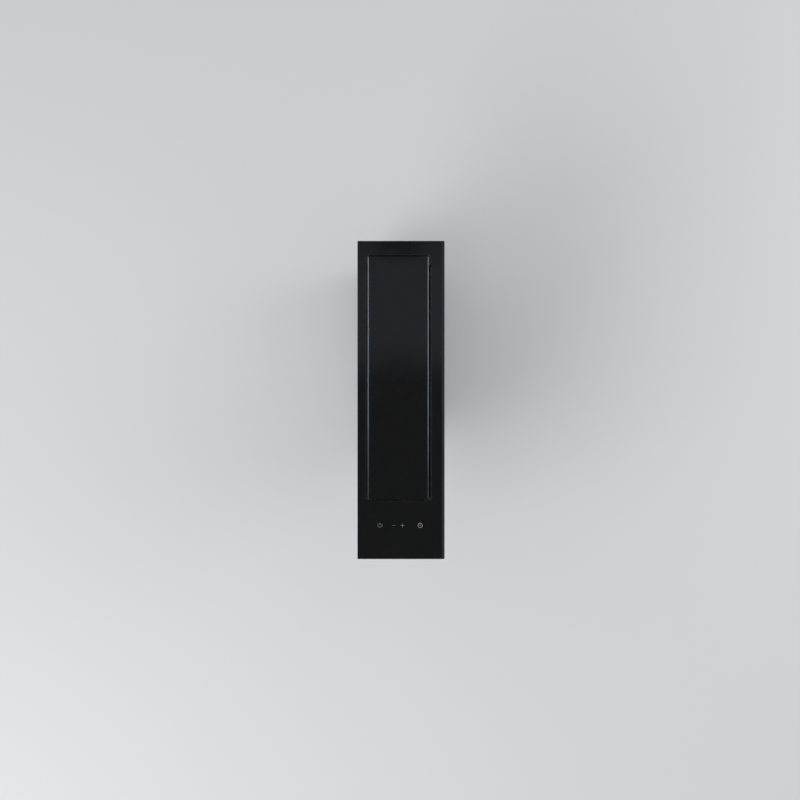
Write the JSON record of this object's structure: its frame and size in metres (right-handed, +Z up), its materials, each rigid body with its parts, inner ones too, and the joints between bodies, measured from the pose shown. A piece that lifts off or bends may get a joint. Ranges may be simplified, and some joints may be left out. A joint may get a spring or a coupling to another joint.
{
  "type": "downdraft range hood",
  "caption": "Range hood set in a worktop between two cooktops: black glass frame with touch keys, a tilting glass flap, grease filters, drip tray, blower and round duct outlet.",
  "frame": {"origin": "On the worktop's surface, which is the underside of the foam seal, in the middle of the air opening from left to right and in the middle of the glass top from front to back.", "axes": "+X to the right and +Y to the back as the cook stands at the front, +Z up. The touch keys are at -Y, and the body hangs below the worktop along -Z."},
  "size_m": [0.1426, 0.52, 0.4127],
  "materials": {
    "black_glass": "black ceramic glass, polished",
    "black_steel": "black coated steel, satin",
    "bright_steel": "bright stainless steel",
    "circuit_board": "green solder mask",
    "copper_wire": "enamelled copper",
    "dark_plastic": "matt black moulding",
    "foam": "closed-cell foam, matt",
    "grey_plastic": "matt grey moulding",
    "motor_steel": "plated motor steel",
    "rubber_black": "black rubber",
    "white_nylon": "natural nylon",
    "zinc_sheet": "galvanized sheet"
  },
  "bodies": {
    "housing": {"glass_frame": "black_glass", "seal_strip": "foam", "carrier_frame": "black_steel", "touch_board": "circuit_board", "touch_holder": "dark_plastic", "front_bush": "white_nylon", "rear_bush": "white_nylon", "outboard_bush": "white_nylon", "gear_motor": "motor_steel", "motor_bracket": "zinc_sheet", "limit_switch": "dark_plastic", "inlet_housing": "zinc_sheet", "filter_rails": "bright_steel", "filter_front": "black_steel", "filter_rear": "black_steel", "drain_spout": "grey_plastic", "drive_box": "zinc_sheet", "control_box": "zinc_sheet", "control_lid": "zinc_sheet", "main_board": "circuit_board", "run_capacitor": "grey_plastic", "cable_gland": "dark_plastic", "tray_rails": "zinc_sheet", "inlet_chamber": "zinc_sheet", "inlet_ring": "dark_plastic", "volute_inlet_half": "grey_plastic", "volute_motor_half": "grey_plastic", "stator": "motor_steel", "windings": "copper_wire", "ball_bearings": "bright_steel", "motor_plate": "zinc_sheet", "rubber_mounts": "rubber_black", "hanger_straps": "zinc_sheet", "wiring_channel": "dark_plastic", "outlet_adapter": "grey_plastic", "outlet_spigot": "grey_plastic", "damper_pin": "bright_steel", "clamp_brackets": "zinc_sheet", "clamp_screws": "bright_steel", "frame_screws": "bright_steel", "lid_screws": "bright_steel", "blower_screws": "bright_steel", "volute_screws": "bright_steel"},
    "flap": {"flap_glass": "black_glass", "flap_carrier": "bright_steel", "flap_shaft": "black_steel", "flap_rear_pin": "black_steel", "flap_gear": "white_nylon"},
    "pinion": {"drive_pinion": "white_nylon"},
    "fan": {"impeller": "dark_plastic", "rotor_can": "motor_steel", "motor_shaft": "bright_steel"},
    "damper_leaf_left": {"damper_left": "bright_steel"},
    "damper_leaf_right": {"damper_right": "bright_steel"},
    "tray": {"drip_tray": "grey_plastic"},
    "clamp_fl": {"clamp_front_left": "zinc_sheet"},
    "clamp_fr": {"clamp_front_right": "zinc_sheet"},
    "clamp_rl": {"clamp_rear_left": "zinc_sheet"},
    "clamp_rr": {"clamp_rear_right": "zinc_sheet"}
  },
  "joints": [
    {"name": "flap_tilt", "type": "hinge", "parent": "housing", "child": "flap", "pos_m": [-0.01285, 0.0355, -0.0055], "axis": [0, -1, 0], "range_deg": [0, 70]},
    {"name": "pinion_spin", "type": "hinge", "parent": "housing", "child": "pinion", "pos_m": [-0.01285, -0.17355, -0.0335], "axis": [0, -1, 0], "range_deg": [-280, 0]},
    {"name": "fan_spin", "type": "hinge", "parent": "housing", "child": "fan", "pos_m": [0.015, 0.02, -0.25937], "axis": [1, 0, 0], "continuous": true},
    {"name": "damper_swing_left", "type": "hinge", "parent": "housing", "child": "damper_leaf_left", "pos_m": [0, 0.1998, -0.33537], "axis": [0, 0, -1], "range_deg": [0, 76]},
    {"name": "damper_swing_right", "type": "hinge", "parent": "housing", "child": "damper_leaf_right", "pos_m": [0, 0.1998, -0.33537], "axis": [0, 0, 1], "range_deg": [0, 76]},
    {"name": "tray_slide", "type": "slide", "parent": "housing", "child": "tray", "axis": [0, -1, 0], "range_m": [0, 0.12]},
    {"name": "clamp_swing_fl", "type": "hinge", "parent": "housing", "child": "clamp_fl", "pos_m": [-0.036, -0.23425, -0.068], "axis": [0, 0, -1], "range_deg": [0, 90]},
    {"name": "clamp_swing_fr", "type": "hinge", "parent": "housing", "child": "clamp_fr", "pos_m": [0.036, -0.23425, -0.068], "axis": [0, 0, 1], "range_deg": [0, 90]},
    {"name": "clamp_swing_rl", "type": "hinge", "parent": "housing", "child": "clamp_rl", "pos_m": [-0.036, 0.2342, -0.068], "axis": [0, 0, 1], "range_deg": [0, 90]},
    {"name": "clamp_swing_rr", "type": "hinge", "parent": "housing", "child": "clamp_rr", "pos_m": [0.036, 0.2342, -0.068], "axis": [0, 0, -1], "range_deg": [0, 90]}
  ],
  "couplings": [
    {"joint": "pinion_spin", "follows": "flap_tilt", "ratio": -4}
  ]
}
